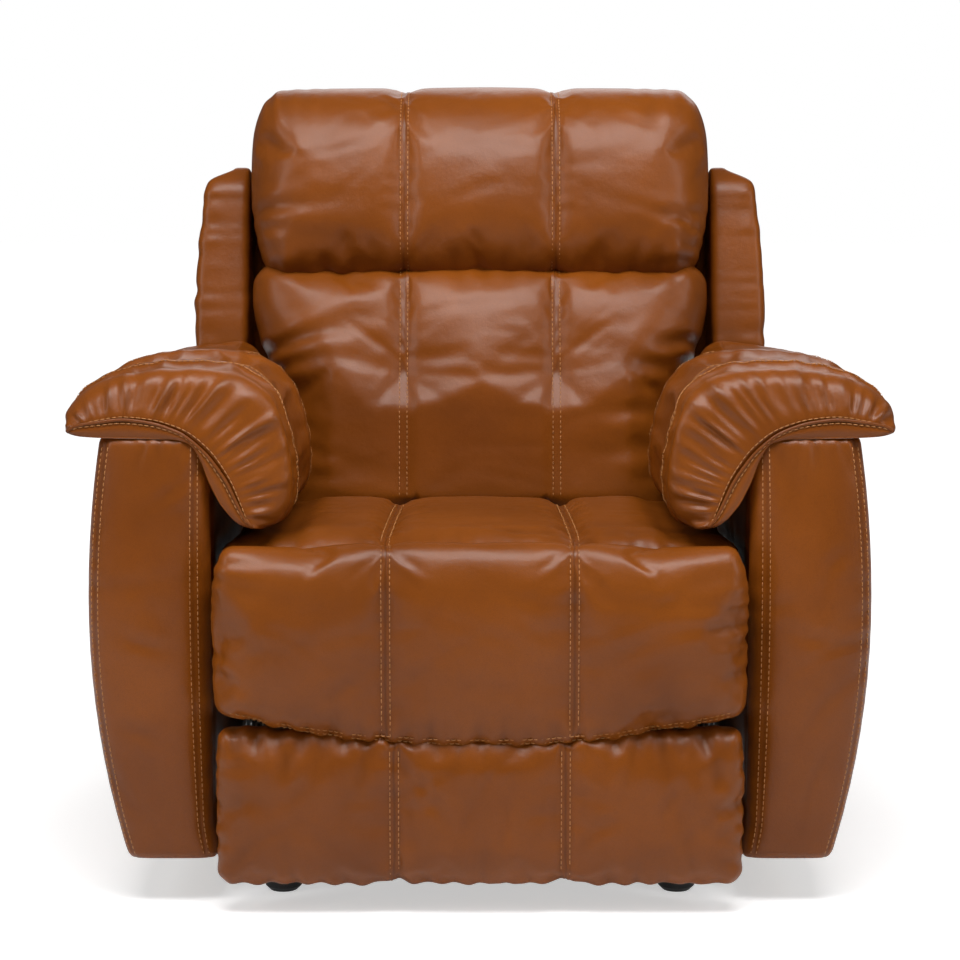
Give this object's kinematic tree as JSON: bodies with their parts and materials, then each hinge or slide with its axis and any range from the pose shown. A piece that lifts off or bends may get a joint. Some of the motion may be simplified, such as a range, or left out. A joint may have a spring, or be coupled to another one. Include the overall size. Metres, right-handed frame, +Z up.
{
  "type": "recliner armchair",
  "caption": "Wide leather recliner armchair with padded arms, a plump segmented back, and a folding leg rest.",
  "frame": {"origin": "centre of the overall width and depth, on the floor under the glides", "axes": "+Z up, front of the chair faces -Y, +X to the sitter's left"},
  "size_m": [1.05, 0.97, 1.062],
  "materials": {
    "leather": "semi-gloss caramel leather",
    "timber": "sawn softwood and plywood",
    "steel": "satin black paint",
    "zinc": "zinc plated",
    "plastic": "moulded black plastic",
    "spring_wire": "drawn wire",
    "webbing": "woven elastic webbing"
  },
  "bodies": {
    "base": {"base_cross_tube_front": "steel", "base_cross_tube_rear": "steel", "base_runners": "steel", "glides": "plastic", "glide_screws": "zinc", "base_side_plate_left": "steel", "base_side_plate_right": "steel", "base_rivets": "zinc", "arm_bolts": "zinc", "arm_frame_left": "timber", "arm_frame_right": "timber", "arm_outer_side_left": "leather", "arm_outer_side_right": "leather", "arm_inner_side_left": "leather", "arm_inner_side_right": "leather", "arm_front_left": "leather", "arm_front_right": "leather", "arm_pad_left": "leather", "arm_pad_right": "leather", "rear_apron": "leather", "release_cup": "plastic", "release_pin": "zinc", "release_cable": "plastic"},
    "release_lever": {"release_lever": "plastic"},
    "release_catch": {"release_catch": "steel"},
    "swing_front": {"swing_links_front": "steel"},
    "swing_rear": {"swing_links_rear": "steel"},
    "seat": {"seat_plate_left": "steel", "seat_plate_right": "steel", "seat_rivets": "zinc", "seat_side_rails": "timber", "seat_front_rail": "timber", "seat_rear_rail": "timber", "seat_springs": "spring_wire", "spring_clips": "zinc", "seat_bolts": "zinc", "seat_cushion": "leather", "front_roll": "leather"},
    "leg_drive": {"leg_links_drive": "steel", "leg_rivets_drive": "zinc", "leg_torque_tube": "steel"},
    "leg_cross": {"leg_links_cross": "steel", "leg_rivets_cross": "zinc"},
    "leg_outer": {"leg_links_outer": "steel", "leg_rivets_outer": "zinc"},
    "leg_outer_cross": {"leg_links_outer_cross": "steel", "leg_rivets_outer_cross": "zinc"},
    "leg_rest": {"leg_rest_brackets": "steel", "leg_rest_board": "timber", "leg_rest_bolts": "zinc", "leg_rest_pad": "leather"},
    "back": {"back_frame": "timber", "back_plates": "steel", "back_bolts": "zinc", "back_webbing": "webbing", "lumbar_cushion": "leather", "head_pillow": "leather", "back_wing_left": "leather", "back_wing_right": "leather", "outer_back": "leather"}
  },
  "joints": [
    {"name": "back_recline", "type": "hinge", "parent": "seat", "child": "back", "pos_m": [0, 0.14, 0.344], "axis": [-1, 0, 0], "range_deg": [0, 32]},
    {"name": "seat_swing", "type": "hinge", "parent": "base", "child": "swing_front", "pos_m": [0, -0.215, 0.12], "axis": [1, 0, 0], "range_deg": [0, 28]},
    {"name": "rear_swing", "type": "hinge", "parent": "base", "child": "swing_rear", "pos_m": [0, 0.175, 0.12], "axis": [1, 0, 0], "range_deg": [0, 28]},
    {"name": "seat_level", "type": "hinge", "parent": "swing_front", "child": "seat", "pos_m": [0, -0.17145, 0.29465], "axis": [-1, 0, 0], "range_deg": [0, 28]},
    {"name": "leg_rest_extend", "type": "hinge", "parent": "seat", "child": "leg_drive", "pos_m": [0, -0.29, 0.212], "axis": [-1, 0, 0], "range_deg": [0, 64]},
    {"name": "leg_cross_pivot", "type": "hinge", "parent": "leg_drive", "child": "leg_cross", "pos_m": [0, -0.3065, 0.11844], "axis": [1, 0, 0], "range_deg": [0, 128]},
    {"name": "leg_outer_pivot", "type": "hinge", "parent": "leg_cross", "child": "leg_outer", "pos_m": [0, -0.31807, 0.21274], "axis": [-1, 0, 0], "range_deg": [0, 128]},
    {"name": "leg_outer_cross_pivot", "type": "hinge", "parent": "leg_drive", "child": "leg_outer_cross", "pos_m": [0, -0.32299, 0.02489], "axis": [1, 0, 0], "range_deg": [0, 128]},
    {"name": "leg_rest_tilt", "type": "hinge", "parent": "leg_outer_cross", "child": "leg_rest", "pos_m": [0, -0.34615, 0.21347], "axis": [-1, 0, 0], "range_deg": [0, 154]},
    {"name": "release_pull", "type": "hinge", "parent": "base", "child": "release_lever", "pos_m": [-0.49, -0.173, 0.38], "axis": [0, 0, -1], "range_deg": [0, 25], "stiffness_Nm_per_rad": 0.4, "springref_deg": -5.73},
    {"name": "catch_pull", "type": "hinge", "parent": "base", "child": "release_catch", "pos_m": [0, -0.19, 0.12], "axis": [-1, 0, 0], "range_deg": [0, 20]}
  ],
  "couplings": [
    {"joint": "seat_swing", "follows": "back_recline", "ratio": 0.875},
    {"joint": "rear_swing", "follows": "back_recline", "ratio": 0.875},
    {"joint": "seat_level", "follows": "back_recline", "ratio": 0.875},
    {"joint": "leg_cross_pivot", "follows": "leg_rest_extend", "ratio": 2},
    {"joint": "leg_outer_pivot", "follows": "leg_rest_extend", "ratio": 2},
    {"joint": "leg_outer_cross_pivot", "follows": "leg_rest_extend", "ratio": 2},
    {"joint": "leg_rest_tilt", "follows": "leg_rest_extend", "ratio": 2.4062},
    {"joint": "catch_pull", "follows": "release_pull", "ratio": 0.8}
  ]
}
